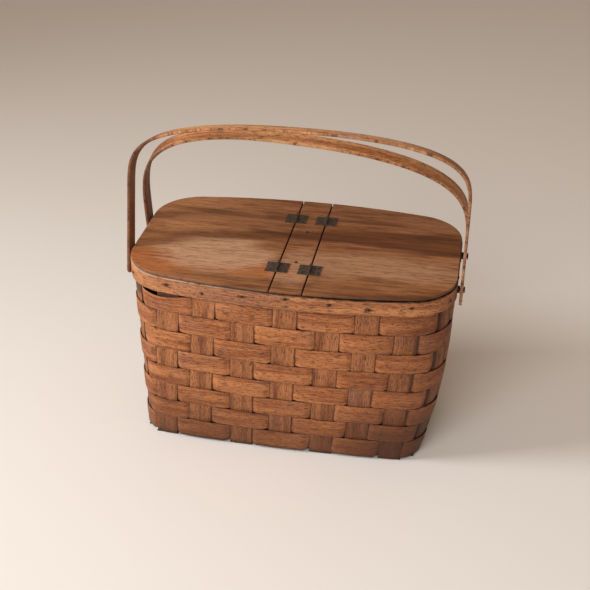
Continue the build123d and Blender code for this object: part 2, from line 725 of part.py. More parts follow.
def washer_face():
    """X of the inner hoop's inner face at the ends of the basket."""
    return LID_LENGTH / 2 - WALL_INSET - STAKE_THICKNESS / 2 - RIM_CLEARANCE - INNER_RIM_THICKNESS


def washer(radius, low, high, side, y):
    """Washer on a rivet, between two distances from the middle of the basket."""
    seat = RIVET_RADIUS + RIVET_SEAT_CLEARANCE
    ring = Cylinder(radius, high - low) - Cylinder(seat, high - low)
    return aimed(ring, Vector(side * (low + high) / 2, y, RIVET_Z), Vector(side, 0, 0))


def rivet_holes():
    """Holes for all four rivets, through both hoops."""
    radius = RIVET_RADIUS + RIVET_SEAT_CLEARANCE
    rod = Cylinder(radius, 2 * HANDLE_HALF_SPAN, rotation=(0, 90, 0))
    return [Pos(0, y, RIVET_Z) * rod for y in (-RIVET_Y, RIVET_Y)]


def rivets():
    made = {"rivet_washers": [], "handle_spacers": []}
    rim_face = LID_LENGTH / 2
    spacer_face = rim_face + HANDLE_CLEARANCE - SPACER_PLAY
    clinch_face = washer_face() - WASHER_THICKNESS
    for name, y in (("front", -RIVET_Y), ("rear", RIVET_Y)):
        made[f"handle_rivets_{name}"] = [rivet(side, y) for side in (-1, 1)]
        for side in (-1, 1):
            burr = washer(WASHER_RADIUS, clinch_face, washer_face(), side, y)
            spacer = washer(SPACER_RADIUS, rim_face, spacer_face, side, y)
            made["rivet_washers"].append(burr)
            made["handle_spacers"].append(spacer)
    return made


def lid():
    reach = LID_LENGTH
    leaf_holes = hinge_nailing(nail_hole)
    brad_holes = brad_nailing(nail_hole)
    strip = lid_piece(STRIP_LEFT, STRIP_RIGHT)
    left = lid_piece(-reach, STRIP_LEFT - SLIT)
    right = lid_piece(STRIP_RIGHT + SLIT, reach)
    return {
        "centre_strip": drilled(strip, leaf_holes["centre_strip"] + brad_holes),
        "left_lid_flap": drilled(left, leaf_holes["left_lid_flap"]),
        "right_lid_flap": drilled(right, leaf_holes["right_lid_flap"]),
        "cross_bar": drilled(cross_bar(), brad_holes + rim_nailing(nail_hole)),
        "centre_strip_brads": brad_nailing(nail),
    }


def rim():
    inner = -WALL_INSET - STAKE_THICKNESS / 2 - RIM_CLEARANCE
    outer_hoop = hoop(0.0, -RIM_THICKNESS, OUTER_SCARF_COLUMN)
    inner_hoop = hoop(inner, inner - INNER_RIM_THICKNESS, INNER_SCARF_COLUMN)
    holes = rim_nailing(nail_hole) + rivet_holes()
    return {
        "rim_outer_hoop": drilled(outer_hoop, holes),
        "rim_inner_hoop": drilled(inner_hoop, holes),
        "rim_nails": rim_nailing(nail),
    }


def handles():
    return {
        "front_handle_strap": handle(-RIVET_Y, FRONT_LEAN, FRONT_HAUNCH_HEIGHT, FRONT_CROWN_HEIGHT, 0.0),
        "rear_handle_strap": handle(RIVET_Y, -REAR_LEAN, REAR_HAUNCH_HEIGHT, REAR_CROWN_HEIGHT, REAR_DROOP),
    }


def basket():
    """Every piece by its name."""
    pieces = {f"weaver_{row}": weaver(row) for row in range(1, WEAVER_ROWS + 1)}
    for group in (stakes, rim, lid, hinges, handles, rivets):
        pieces.update(group())
    return pieces


def main():
    os.makedirs("parts", exist_ok=True)
    for name, piece in basket().items():
        shape = Compound(children=piece) if isinstance(piece, list) else piece
        export_step(shape, f"parts/{name}.step")


if __name__ == "__main__":
    main()
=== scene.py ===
import bpy
import math
from mathutils import Matrix, Vector


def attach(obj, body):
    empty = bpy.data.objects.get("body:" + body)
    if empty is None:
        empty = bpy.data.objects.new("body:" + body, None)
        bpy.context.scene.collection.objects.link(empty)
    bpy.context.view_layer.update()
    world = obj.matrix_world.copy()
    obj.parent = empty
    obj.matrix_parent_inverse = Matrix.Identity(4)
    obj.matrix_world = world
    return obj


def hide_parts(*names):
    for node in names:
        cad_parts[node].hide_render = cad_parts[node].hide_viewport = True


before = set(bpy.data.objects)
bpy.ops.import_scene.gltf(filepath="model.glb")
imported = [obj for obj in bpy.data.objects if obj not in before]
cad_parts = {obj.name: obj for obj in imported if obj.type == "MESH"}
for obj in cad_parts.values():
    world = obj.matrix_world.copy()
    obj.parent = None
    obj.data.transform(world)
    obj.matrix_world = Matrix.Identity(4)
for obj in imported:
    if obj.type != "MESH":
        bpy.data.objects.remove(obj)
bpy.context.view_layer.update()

MM = 0.001

# All lengths below are in millimetres, and the sizes are those of the CAD.
BASKET_HEIGHT = 292.0
LID_LENGTH, LID_DEPTH, LID_CORNER, LID_BOW, LID_THICKNESS = 456.0, 278.0, 70.0, 13.5, 5.0
BASE_LENGTH, BASE_DEPTH, BASE_CORNER, BASE_BOW, BASE_SHIFT = 411.0, 198.0, 42.0, 5.3, -12.5
# How far the wall bulges past its straight taper, halfway up
BELLY_LENGTH, BELLY_DEPTH, BELLY_SHIFT = 4.0, 3.5, 5.5

# Stakes: their pitch and their shift along the front, at the rim and at the floor
STAKE_THICKNESS, STAKE_WIDTH, END_STAKE_WIDTH = 2.0, 33.0, 28.0
STAKE_PITCH_TOP, STAKE_PITCH_BASE = 55.6, 56.6
STAKE_SHIFT_TOP, STAKE_SHIFT_BASE = 4.9, -11.4
# How far each front stake strays from its even place
STRAY_TOP = (1.8, -1.7, -2.1, 0.1, 3.4, -0.7, -0.6)
STRAY_BASE = (-0.3, -5.3, 1.5, 2.4, 6.6, 0.6, -5.8)
ROWS, FRONT_STAKES, END_STAKES = 8, 7, 4
COLUMNS = 2 * (FRONT_STAKES + END_STAKES)

# Rim, and the middle of the woven wall inside the outline of the lid
RIM_TOP, RIM_HEIGHT, RIM_THICKNESS, INNER_RIM = 286.8, 23.0, 4.5, 4.0
RIM_CLEARANCE = 0.3
RIM_BOTTOM = RIM_TOP - RIM_HEIGHT
WALL_INSET = RIM_THICKNESS + RIM_CLEARANCE + STAKE_THICKNESS / 2
INNER_HOOP_MIDDLE = WALL_INSET + STAKE_THICKNESS / 2 + RIM_CLEARANCE + INNER_RIM / 2

# Weavers: SWING either way past the wall's middle, ARCH more in the middle of a float, and
# BEND_LATE of the way between two stakes kept clear before the splint dives behind one
SWING, ARCH, ROW_GAP, BEND_LATE = 1.6, 0.5, 0.5, 0.62
WEAVER_THICKNESS, WEAVER_CROWN, WEAVER_STEP, SPLICE_GAP = 1.3, 0.3, 3.0, 1.0
# How far within a stake's edges the bends start, on its outside and on its inside
HOLD_OUTSIDE, HOLD_INSIDE = 0.5, 2.0
# The top weaver sags away from the rim at the front left, and the lowest droops at its foot
DIP, DIP_PLACE, DIP_REACH, FOOT_DROP = 8.0, -176.0, 44.0, 2.6

# Bottom: the stakes' middle, their swing over and under each other and the bend up the wall
BASE_MIDDLE, BASE_SWING, BEND = 2.1, 1.2, 2.5
CROSSING_CLEARANCE = 0.4
ROW_FLOOR = BASE_MIDDLE + BASE_SWING + BEND
ROW_PITCH = (RIM_BOTTOM - ROW_FLOOR) / ROWS
STAKE_SPLINT, STAKE_CROWN, STAKE_TOP = 1.6, 0.08, RIM_TOP - 1
WALL_STEPS, BEND_STEPS, BASE_STEP = 60, 6, 4.0

# Rim hoops: half of the scarf joint, the thickness left at its tips and the mesh's step
SCARF_HALF, SCARF_TIP, HOOP_STEP = 22.0, 0.12, 1.6
NAIL_DROP, NAIL_STAGGER = 9.0, 4.0
BAR_NAIL_REACH, BAR_NAIL_HEIGHT = 7.5, 281.0
STAIN_SPREAD, STAIN_HEIGHT, STAIN_LIMIT = 4.2, 1.6, 14.0

# Lid: edges of the centre strip, the slits beside it and the boards' step in from the outline
STRIP_LEFT, STRIP_RIGHT, SLIT = -16.0, 27.0, 1.6
BOARD_INSET = 0.9
ROUND_POINTS, STRIP_END_POINTS, STRAIGHT_POINTS = 180, 12, 60
# Loops of a board's mesh, each its step in from the edge and its height: those of the underside
# above the board's foot, those of the top under its face
UNDER_RINGS = ((30, 0), (6, 0), (2.6, 0), (1.5, 0.5), (0.6, 1.2), (0, 1.8))
TOP_RINGS = ((0, 1.0), (0.12, 0.5), (0.45, 0.16), (1.0, 0), (2.0, 0), (4.0, 0), (8.0, 0), (18.0, 0))

# Handles: the crown is a superellipse between two straight legs
RIVET_Y, RIVET_Z, HANDLE_X = 49.0, 270.8, 233.5
HANDLE_WIDTH, HANDLE_THICKNESS, LEG_TAIL, LEG_TIP_RADIUS = 25.0, 4.2, 20.0, 5.0
CROWN_ROUNDNESS, SHOULDER_TIGHTNESS = 2.36, 4.27
LEG_STEPS, CROWN_STEPS, HANDLE_STEP = 30, 160, 1.2

# Unevenness: how much, and the length that it changes over
WEAVER_BULGE, WEAVER_SWAY, WEAVER_FLARE = (0.2, 140), (0.5, 260), (0.35, 90)
STAKE_SAG, HOOP_BULGE, HOOP_EDGE, HANDLE_SWAY = (0.25, 120), (0.15, 300), (0.3, 420), (0.35, 260)
# The sag of a stake grows from nothing at the rim to all of it this far below
SAG_REACH = 20


def mix(low, high, share):
    return low + (high - low) * share


def smooth(share):
    share = min(max(share, 0.0), 1.0)
    return share * share * (3 - 2 * share)


def wobble(seed, place, length):
    """Smooth, repeatable unevenness between -1 and 1, whose main wave has this length."""
    turn = 2 * math.pi * place / length
    value = 0.0
    for k, (rate, gain) in enumerate(((1.0, 0.5), (2.3, 0.3), (4.7, 0.2))):
        value += gain * math.sin(rate * turn + seed * (k + 1) * 2.399 + k)
    return value


def uneven(kind, seed, place):
    """Unevenness in millimetres of a kind such as WEAVER_BULGE."""
    size, length = kind
    return size * wobble(seed, place, length)


class Outline:
    """A rounded rectangle with bowed long sides, followed by arc length from the front middle."""

    def __init__(self, middle, half_length, half_depth, corner, bow):
        run = half_length - corner
        self.middle, self.corner, self.run, self.half_length = middle, corner, run, half_length
        self.side_radius = (run * run + bow * bow) / (2 * bow) + corner
        self.side_centre = self.side_radius - half_depth
        reach = self.side_radius - corner
        self.turn = math.asin(run / reach)
        self.corner_y = self.side_centre - reach * math.cos(self.turn)
        self.side = self.side_radius * self.turn
        self.arc = corner * (math.pi / 2 - self.turn)
        self.quarter = self.side + self.arc - self.corner_y
        self.length = 4 * self.quarter

    def quarter_place(self, along):
        """Place and outward normal in the front right quarter, as x, y, normal x, normal y."""
        if along <= self.side:
            angle = along / self.side_radius
            sine, cosine = math.sin(angle), math.cos(angle)
            y = self.side_centre - self.side_radius * cosine
            return self.side_radius * sine, y, sine, -cosine
        if along <= self.side + self.arc:
            angle = self.turn + (along - self.side) / self.corner
            sine, cosine = math.sin(angle), math.cos(angle)
            y = self.corner_y - self.corner * cosine
            return self.run + self.corner * sine, y, sine, -cosine
        return self.half_length, along - self.quarter, 1.0, 0.0

    def place(self, along, offset=0.0):
        along %= self.length
        quadrant, rest = divmod(along, self.quarter)
        quadrant = int(quadrant) % 4
        if quadrant % 2:
            rest = self.quarter - rest
        x, y, nx, ny = self.quarter_place(rest)
        sx = 1 if quadrant < 2 else -1
        sy = 1 if quadrant in (0, 3) else -1
        normal = Vector((sx * nx, sy * ny, 0))
        return Vector((self.middle + sx * x, sy * y, 0)) + normal * offset, normal


def lid_outline(offset=0.0):
    return Outline(0, LID_LENGTH / 2 + offset, LID_DEPTH / 2 + offset, LID_CORNER + offset, LID_BOW)


def wall_outline(z):
    """The middle of the woven wall at a height."""
    share = min(max(z / RIM_BOTTOM, 0.0), 1.0)
    base_length, base_depth = BASE_LENGTH - STAKE_THICKNESS, BASE_DEPTH - STAKE_THICKNESS
    belly = 4 * share * (1 - share)
    return Outline(
        mix(BASE_SHIFT, 0, share) + BELLY_SHIFT * belly,
        mix(base_length / 2, LID_LENGTH / 2 - WALL_INSET, share) + BELLY_LENGTH * belly,
        mix(base_depth / 2, LID_DEPTH / 2 - WALL_INSET, share) + BELLY_DEPTH * belly,
        mix(BASE_CORNER, LID_CORNER - WALL_INSET, share),
        mix(BASE_BOW, LID_BOW, share),
    )


def columns(z):
    """Places of the stakes along the wall at a height: front, right end, back and left end."""
    share = min(max(z / RIM_BOTTOM, 0.0), 1.0)
    wall = wall_outline(z)
    shift = mix(STAKE_SHIFT_BASE, STAKE_SHIFT_TOP, share) - wall.middle
    pitch = mix(STAKE_PITCH_BASE, STAKE_PITCH_TOP, share)
    strays = [mix(low, high, share) for low, high in zip(STRAY_BASE, STRAY_TOP)]
    front = [shift + (i - (FRONT_STAKES - 1) / 2) * pitch + stray for i, stray in enumerate(strays)]
    back = [wall.length / 2 - place for place in reversed(front)]
    right_step = (back[0] - front[-1]) / (END_STAKES + 1)
    right = [front[-1] + (k + 1) * right_step for k in range(END_STAKES)]
    left_step = (wall.length + front[0] - back[-1]) / (END_STAKES + 1)
    left = [back[-1] + (k + 1) * left_step for k in range(END_STAKES)]
    return front + right + back + left


def half_width(column):
    at_front_or_back = column % (FRONT_STAKES + END_STAKES) < FRONT_STAKES
    return (STAKE_WIDTH if at_front_or_back else END_STAKE_WIDTH) / 2


def weave(place, stations, holds, signs, late=0.0):
    """1 outside a crossing strip, -1 inside it. The bend keeps late of the way clear outside."""
    if place <= stations[0]:
        return signs[0]
    for i in range(len(stations) - 1):
        if place <= stations[i + 1]:
            start = stations[i] + holds[i]
            free = stations[i + 1] - holds[i + 1] - start
            share = (place - start) / free
            if signs[i] > signs[i + 1]:
                return mix(signs[i], signs[i + 1], smooth((share - late) / (1 - late)))
            return mix(signs[i], signs[i + 1], smooth(share / (1 - late)))
    return signs[-1]


# ---- meshes ----

def new_object(name, points, faces, attributes, smooth_faces=True):
    mesh = bpy.data.meshes.new(name)
    mesh.from_pydata([tuple(p * MM) for p in points], [], faces)
    for key, values in attributes.items():
        if isinstance(values[0], tuple):
            data = mesh.attributes.new(key, "FLOAT_VECTOR", "POINT")
            data.data.foreach_set("vector", [v for value in values for v in value])
        else:
            data = mesh.attributes.new(key, "FLOAT", "POINT")
            data.data.foreach_set("value", values)
    for polygon in mesh.polygons:
        polygon.use_smooth = smooth_faces
    mesh.validate()
    mesh.update()
    made = bpy.data.objects.new(name, mesh)
    bpy.context.scene.collection.objects.link(made)
    return made


# Places across a splint, from one edge to the other, and how much of its thickness is left there
RAILS = (-1.0, -0.985, -0.94, -0.8, -0.55, -0.2, 0.2, 0.55, 0.8, 0.94, 0.985, 1.0)
EDGE_FALL = {1.0: 0.25, 0.985: 0.72}


def splint(name, sections, thickness, width, seed, tuck_shade=None, crown=0.0):
    """A thin strip. A section is its rails, one (middle point, normal) for each of RAILS.

    Its vertices know their place along the grain, their painted shade where tucked, how far the
    edge is and their rail.
    """
    points, grain, tuck_shades, edges, rail_place = [], [], [], [], []
    count = len(RAILS)
    middle = count // 2
    along = 0.0
    last = None
    for i, rails in enumerate(sections):
        centre = rails[middle][0]
        if last is not None:
            along += (centre - last).length
        last = centre
        for side in (1, -1):
            order = range(count) if side == 1 else range(count - 1, -1, -1)
            for k in order:
                u = RAILS[k]
                point, normal = rails[k]
                fall = EDGE_FALL.get(abs(u), 1.0)
                lift = side * thickness / 2 * fall + crown * (1 - u * u)
                points.append(point + normal * lift)
                across = u * width / 2 * MM + seed * 1.3
                grain.append((along * MM + seed * 3.7, across, side * MM * 4))
                edges.append((1 - abs(u)) * width / 2)
                rail_place.append(u)
                tuck_shades.append(tuck_shade[i] if tuck_shade else 0.0)
    ring = 2 * count
    faces = []
    for i in range(len(sections) - 1):
        for k in range(ring):
            a, b = i * ring + k, i * ring + (k + 1) % ring
            faces.append((a, a + ring, b + ring, b))
    for base, flip in ((0, False), ((len(sections) - 1) * ring, True)):
        for k in range(count - 1):
            quad = (base + k, base + k + 1, base + ring - 2 - k, base + ring - 1 - k)
            faces.append(quad[::-1] if flip else quad)
    attributes = {"grain": grain, "tuck_shade": tuck_shades, "edge": edges, "rail": rail_place}
    return new_object(name, points, faces, attributes)


def weaver(row):
    """Row of the weave, counted from the rim, with the bulge and unevenness of a bent splint."""
    high = RIM_BOTTOM - (row - 1) * ROW_PITCH - ROW_GAP / 2
    low = high - ROW_PITCH + ROW_GAP
    middle = (high + low) / 2
    wall = wall_outline(middle)
    signs = [1 if (column + row) % 2 else -1 for column in range(COLUMNS)]
    holds = [
        half_width(column) - (HOLD_OUTSIDE if sign > 0 else HOLD_INSIDE)
        for column, sign in enumerate(signs)
    ]
    stations = columns(middle)
    stations.append(stations[0] + wall.length)
    signs.append(signs[0])
    holds.append(holds[0])
    splice = COLUMNS // 2 + FRONT_STAKES // 2 + row % 2
    start = stations[splice] + SPLICE_GAP / 2
    run = wall.length - SPLICE_GAP
    steps = int(run / WEAVER_STEP)
    levels = [(high + low) / 2 + u * (high - low) / 2 for u in RAILS]
    outlines = [wall_outline(z) for z in levels]
    sections, tuck_shade = [], []
    for step in range(steps + 1):
        along = start + run * step / steps
        wrapped = stations[0] + (along - stations[0]) % wall.length
        hold = weave(wrapped, stations, holds, signs, BEND_LATE)
        i = max(j for j in range(len(stations)) if stations[j] <= wrapped + 1e-9)
        i = min(i, len(stations) - 2)
        share = (wrapped - stations[i]) / (stations[i + 1] - stations[i])
        arch = max(0.0, math.cos(math.pi * share) * signs[i])
        rails = []
        for u, z, outline in zip(RAILS, levels, outlines):
            swing = SWING * hold + ARCH * arch + uneven(WEAVER_BULGE, row * 7 + u, along)
            place = along * outline.length / wall.length
            point, normal = outline.place(place, swing)
            if row == 1:
                half_way = outline.length / 2
                from_dip = (place + half_way) % outline.length - half_way - DIP_PLACE
                point.z -= DIP * (u + 1) / 2 * math.exp(-(from_dip / DIP_REACH) ** 2)
            sway = uneven(WEAVER_SWAY, row * 3 + 1, along)
            sway += u * uneven(WEAVER_FLARE, row * 5 + 2, along)
            point.z += z + sway
            if row == ROWS:
                point.z -= FOOT_DROP * smooth(hold) * (1 - u) / 2
            rails.append((point, normal))
        sections.append(rails)
        # Painted shade where the splint tucks behind a stake, darker the deeper it lies inside
        tuck_shade.append(max(0.0, -hold))
    name = f"weaver_splint_{row}"
    width = ROW_PITCH - ROW_GAP
    return splint(name, sections, WEAVER_THICKNESS, width, row, tuck_shade, WEAVER_CROWN)


def wall_rails(column, half, z):
    """Section of a stake at a height in the wall."""
    outline = wall_outline(z)
    centre = columns(z)[column]
    rails = []
    for u in RAILS:
        point, normal = outline.place(centre + u * half)
        point.z = z
        rails.append((point, normal))
    return rails


def base_end(column):
    """Where the flat run of a stake under the basket ends."""
    point, normal = wall_outline(ROW_FLOOR).place(columns(ROW_FLOOR)[column])
    return point - normal * BEND


def stake(name, column, partner, half, crossings, cross_half, signs, seed):
    """A splint down the wall, under the basket and up the other wall."""
    start, end = base_end(column), base_end(partner)
    direction = (end - start).normalized()
    side = Vector((-direction.y, direction.x, 0))
    run = (end - start).length
    holds = [cross_half] * len(crossings)

    def height(along):
        return BASE_MIDDLE + BASE_SWING * weave(along, crossings, holds, signs)

    def turned(rails):
        return rails[::-1]

    def wall_part(one, foot):
        part = [wall_rails(one, half, z) for z in (STAKE_TOP, (RIM_TOP + RIM_BOTTOM) / 2)]
        for step in range(WALL_STEPS + 1):
            z = mix(RIM_BOTTOM, foot + BEND, step / WALL_STEPS)
            rails = wall_rails(one, half, z)
            sag = uneven(STAKE_SAG, seed + one, z)
            part.append([(p + n * sag * smooth((RIM_BOTTOM - z) / SAG_REACH), n) for p, n in rails])
        return part

    def bend_part(last, feet, base_z):
        part = []
        for step in range(1, BEND_STEPS + 1):
            angle = math.pi / 2 * step / BEND_STEPS
            rails = []
            for (top, normal), foot in zip(last, feet):
                flat = Vector((top.x, top.y, 0))
                inward = foot - flat
                point = flat + inward * (1 - math.cos(angle))
                point.z = top.z - (top.z - base_z) * math.sin(angle)
                turn = inward.normalized() * -math.cos(angle) - Vector((0, 0, math.sin(angle)))
                rails.append((point, turn))
            part.append(rails)
        return part

    near = [start - side * (u * half) for u in RAILS]
    far = [end - side * (u * half) for u in RAILS]
    wall_near = wall_part(column, height(0))
    wall_far = wall_part(partner, height(run))
    bend_near = bend_part(wall_near[-1], near, height(0))
    bend_far = bend_part(wall_far[-1], turned(far), height(run))
    sections = wall_near + bend_near
    down = Vector((0, 0, -1))
    steps = int(run / BASE_STEP)
    for step in range(1, steps):
        share = step / steps
        lift = Vector((0, 0, height(run * share)))
        sections.append([(a.lerp(b, share) + lift, down) for a, b in zip(near, far)])
    sections += [turned(rails) for rails in reversed(bend_far)]
    sections += [turned(rails) for rails in reversed(wall_far)]
    return splint(name, sections, STAKE_SPLINT, 2 * half, seed, None, STAKE_CROWN)


def front_partner(i):
    """Column at the back that front stake i comes up in."""
    return COLUMNS // 2 + FRONT_STAKES - 1 - i


def make_stakes():
    made = []
    xs = [base_end(i).x for i in range(FRONT_STAKES)]
    ends = [(FRONT_STAKES + k, COLUMNS - 1 - k) for k in range(END_STAKES)]
    ys = [(base_end(a).y + base_end(b).y) / 2 for a, b in ends]
    for i in range(FRONT_STAKES):
        start = base_end(i)
        crossings = [y - start.y for y in ys]
        signs = [1 if (i + k) % 2 else -1 for k in range(END_STAKES)]
        name = f"stake_splint_front_{i + 1}"
        cross_half = END_STAKE_WIDTH / 2 + CROSSING_CLEARANCE
        half = STAKE_WIDTH / 2
        piece = stake(name, i, front_partner(i), half, crossings, cross_half, signs, 20 + i)
        made.append((piece, f"stake_front_to_back_{i + 1}"))
    for k, (right, left) in enumerate(ends):
        start = base_end(right)
        crossings = [start.x - x for x in reversed(xs)]
        signs = [-1 if (i + k) % 2 else 1 for i in reversed(range(FRONT_STAKES))]
        name = f"stake_splint_end_{k + 1}"
        cross_half = STAKE_WIDTH / 2 + CROSSING_CLEARANCE
        piece = stake(name, right, left, END_STAKE_WIDTH / 2, crossings, cross_half, signs, 40 + k)
        made.append((piece, f"stake_end_to_end_{k + 1}"))
    return made


def hoop(name, middle_offset, thickness, seed, joint_column, nails=()):
    """A bent band round the rim, whose tapered ends lie over each other."""
    outline = lid_outline(-middle_offset)
    wall = wall_outline(RIM_BOTTOM)
    scale = outline.length / wall.length
    places = columns(RIM_BOTTOM)
    joint = mix(places[int(joint_column)], places[int(joint_column) + 1], joint_column % 1) * scale
    run = outline.length + 2 * SCARF_HALF
    steps = int(run / HOOP_STEP)
    sections = []
    for step in range(steps + 1):
        along = joint - SCARF_HALF + run * step / steps
        travelled = run * step / steps
        lead = min(travelled / (2 * SCARF_HALF), 1.0)
        tail = min((run - travelled) / (2 * SCARF_HALF), 1.0)
        taper = max(SCARF_TIP, lead * tail)
        shift = (1 - lead) * thickness / 2 - (1 - tail) * thickness / 2
        rails = []
        for u in RAILS:
            point, normal = outline.place(along, 0.0)
            shape = uneven(HOOP_BULGE, seed, along) * lead * tail
            point = point + normal * (shift * 0.94 + shape)
            point.z = (RIM_TOP + RIM_BOTTOM) / 2 + u * RIM_HEIGHT / 2
            point.z += uneven(HOOP_EDGE, seed + 1 + u, along) * (1 if u < 0 else 0.2)
            rails.append((point, normal * taper))
        sections.append(rails)
    made = splint(name, sections, thickness, RIM_HEIGHT, seed)
    stain = []
    for vertex in made.data.vertices:
        value = 0.0
        for spot, normal, spread, size in nails:
            away = vertex.co / MM - spot
            if away.length < STAIN_LIMIT:
                tangent = Vector((-normal.y, normal.x, 0))
                sideways = away.dot(tangent) / (spread * size)
                reach = math.hypot(sideways, away.z / (STAIN_HEIGHT * size))
                value = max(value, 1 - smooth((reach - 0.6) / 1.4))
        stain.append(value)
    data = made.data.attributes.new("stain", "FLOAT", "POINT")
    data.data.foreach_set("value", stain)
    return made


def rim_nail_sites():
    """Where the CAD nails come out of the rim: point, normal, spread and size of the stain."""
    wall = wall_outline(RIM_BOTTOM)
    sites = []
    for column, place in enumerate(columns(RIM_BOTTOM)):
        point, normal = wall.place(place, WALL_INSET)
        drop = NAIL_DROP + (NAIL_STAGGER if column % 2 else 0.0)
        into_bar = abs(point.x - (STRIP_LEFT + STRIP_RIGHT) / 2) < BAR_NAIL_REACH
        point.z = BAR_NAIL_HEIGHT if into_bar else RIM_TOP - drop
        spread = STAIN_SPREAD + 2.4 * wobble(column, 1.0, 3.0)
        sites.append((point, normal, spread, 1.0 + 0.25 * wobble(column + 5, 1.0, 3.0)))
    return sites


# ---- lid boards ----

def board_points(inset, left, right):
    """Closed loop of points, counter-clockwise, of the lid between two cuts across it.

    A cut that is None lies past the end of the lid, so that end is round.
    """
    outline = lid_outline(-inset)
    radius = outline.side_radius
    pull = inset - BOARD_INSET

    def front_at(x):
        return radius * math.asin(x / radius)

    def round_end(start, stop):
        last = ROUND_POINTS - 1
        return [outline.place(mix(start, stop, k / last))[0] for k in range(ROUND_POINTS)]

    def straight(a, b):
        return [a.lerp(b, k / STRAIGHT_POINTS) for k in range(1, STRAIGHT_POINTS)]

    half = outline.length / 2
    if left is None:
        cut = right - pull
        points = round_end(half + front_at(-cut), outline.length + front_at(cut))
    elif right is None:
        cut = left + pull
        points = round_end(front_at(cut), half - front_at(cut))
    else:
        low, high = left + pull, right - pull
        shares = [k / (STRIP_END_POINTS - 1) for k in range(STRIP_END_POINTS)]
        start, stop = front_at(low), front_at(high)
        near = [outline.place(mix(start, stop, share))[0] for share in shares]
        far = [outline.place(half - mix(stop, start, share))[0] for share in shares]
        points = near + straight(near[-1], far[0]) + far
    return points + straight(points[-1], points[0])


def board(name, left, right):
    """A board of the lid with eased edges. Its vertices know how far they are from its edge and
    where painted shade lies at its foot.
    """
    top, bottom = BASKET_HEIGHT, BASKET_HEIGHT - LID_THICKNESS
    rings = [(inset, bottom + height) for inset, height in UNDER_RINGS]
    rings.append((0, mix(bottom, top, 0.6)))
    rings += [(inset, top - depth) for inset, depth in TOP_RINGS]
    if left is not None and right is not None:
        rings = [ring for ring in rings if ring[0] < 18]
    points, edges, lid_gap_shade, faces = [], [], [], []
    for inset, z in rings:
        loop = board_points(BOARD_INSET + inset, left, right)
        count = len(loop)
        for point in loop:
            point.z = z
            points.append(point)
            edges.append(inset if z > bottom + 2 else 0.0)
            # Painted shade on the underside and eased foot, where the lid sits on the rim
            lid_gap_shade.append(1.0 if z < bottom + 1.7 else 0.0)
    for i in range(len(rings) - 1):
        for k in range(count):
            a, b = i * count + k, i * count + (k + 1) % count
            faces.append((a, b, b + count, a + count))
    faces.append(tuple(range(count))[::-1])
    faces.append(tuple(range((len(rings) - 1) * count, len(rings) * count)))
    return new_object(name, points, faces, {"edge": edges, "lid_gap_shade": lid_gap_shade})


# ---- handles ----

def handle(name, pivot_y, lean, haunch, crown, droop, seed):
    """A bentwood strap from one leg tail over the crown to the other.

    Haunch and crown are heights above the rivets, and droop is the crown's fall per length.
    """
    centre = []
    for step in range(LEG_STEPS):
        centre.append((-HANDLE_X, mix(-LEG_TAIL, haunch, step / LEG_STEPS)))
    for step in range(CROWN_STEPS + 1):
        angle = math.pi * (1 - step / CROWN_STEPS)
        side = 1 if math.cos(angle) >= 0 else -1
        x = HANDLE_X * side * abs(math.cos(angle)) ** (2 / CROWN_ROUNDNESS)
        rise = crown - haunch - droop * x
        centre.append((x, haunch + rise * abs(math.sin(angle)) ** (2 / SHOULDER_TIGHTNESS)))
    for step in range(1, LEG_STEPS + 1):
        centre.append((HANDLE_X, mix(haunch, -LEG_TAIL, step / LEG_STEPS)))
    even = [centre[0]]
    for point in centre[1:]:
        if math.dist(point, even[-1]) > HANDLE_STEP:
            even.append(point)
    lean = math.radians(lean)
    up = Vector((0, math.sin(lean), math.cos(lean)))
    across = Vector((0, math.cos(lean), -math.sin(lean)))
    pivot = Vector((0, pivot_y, RIVET_Z))
    sections = []
    for i, (x, high) in enumerate(even):
        before, after = even[max(i - 1, 0)], even[min(i + 1, len(even) - 1)]
        dx, dz = after[0] - before[0], after[1] - before[1]
        size = math.hypot(dx, dz)
        normal = Vector((-dz / size, 0, 0)) + up * (dx / size)
        in_leg = abs(x) > HANDLE_X - 0.1
        from_tip = min(high + LEG_TAIL, LEG_TIP_RADIUS) if in_leg else LEG_TIP_RADIUS
        rounding = LEG_TIP_RADIUS ** 2 - (LEG_TIP_RADIUS - from_tip) ** 2
        half = HANDLE_WIDTH / 2 - LEG_TIP_RADIUS + math.sqrt(max(rounding, 0.04))
        rails = []
        for u in RAILS:
            point = pivot + Vector((x, 0, 0)) + up * high + across * (u * half)
            point += across * uneven(HANDLE_SWAY, seed + u, x + high)
            rails.append((point, normal))
        sections.append(rails)
    return splint(name, sections, HANDLE_THICKNESS, HANDLE_WIDTH, seed)


# ---- materials ----

# Places in the materials are in metres, and the edge attribute is in millimetres. Colours are in
# linear RGB, first the pale, middle and dark colour of each wood.
WEAVER_COLORS = (0.47, 0.178, 0.062), (0.355, 0.118, 0.036), (0.18, 0.049, 0.014)
STAKE_COLORS = (0.40, 0.155, 0.058), (0.30, 0.101, 0.034), (0.145, 0.043, 0.013)
RIM_COLORS = (0.47, 0.198, 0.078), (0.36, 0.130, 0.044), (0.20, 0.060, 0.018)
HANDLE_COLORS = (0.95, 0.500, 0.235), (0.78, 0.345, 0.140), (0.38, 0.130, 0.045)
BAR_DARK, BAR_LIGHT = (0.22, 0.10, 0.04), (0.42, 0.24, 0.11)
# The soot colour is also the painted shade: along the splints' edges and tucks, at the foot of the
# weave and at the rim's top edge on the right
SOOT_AND_SHADE, NAIL_STAIN = (0.016, 0.007, 0.004), (0.022, 0.009, 0.005)
# The second colour here is the painted highlight on the rim's top edge
HANDLE_ENDS, RIM_HIGHLIGHT = (0.085, 0.022, 0.009), (0.62, 0.42, 0.30)

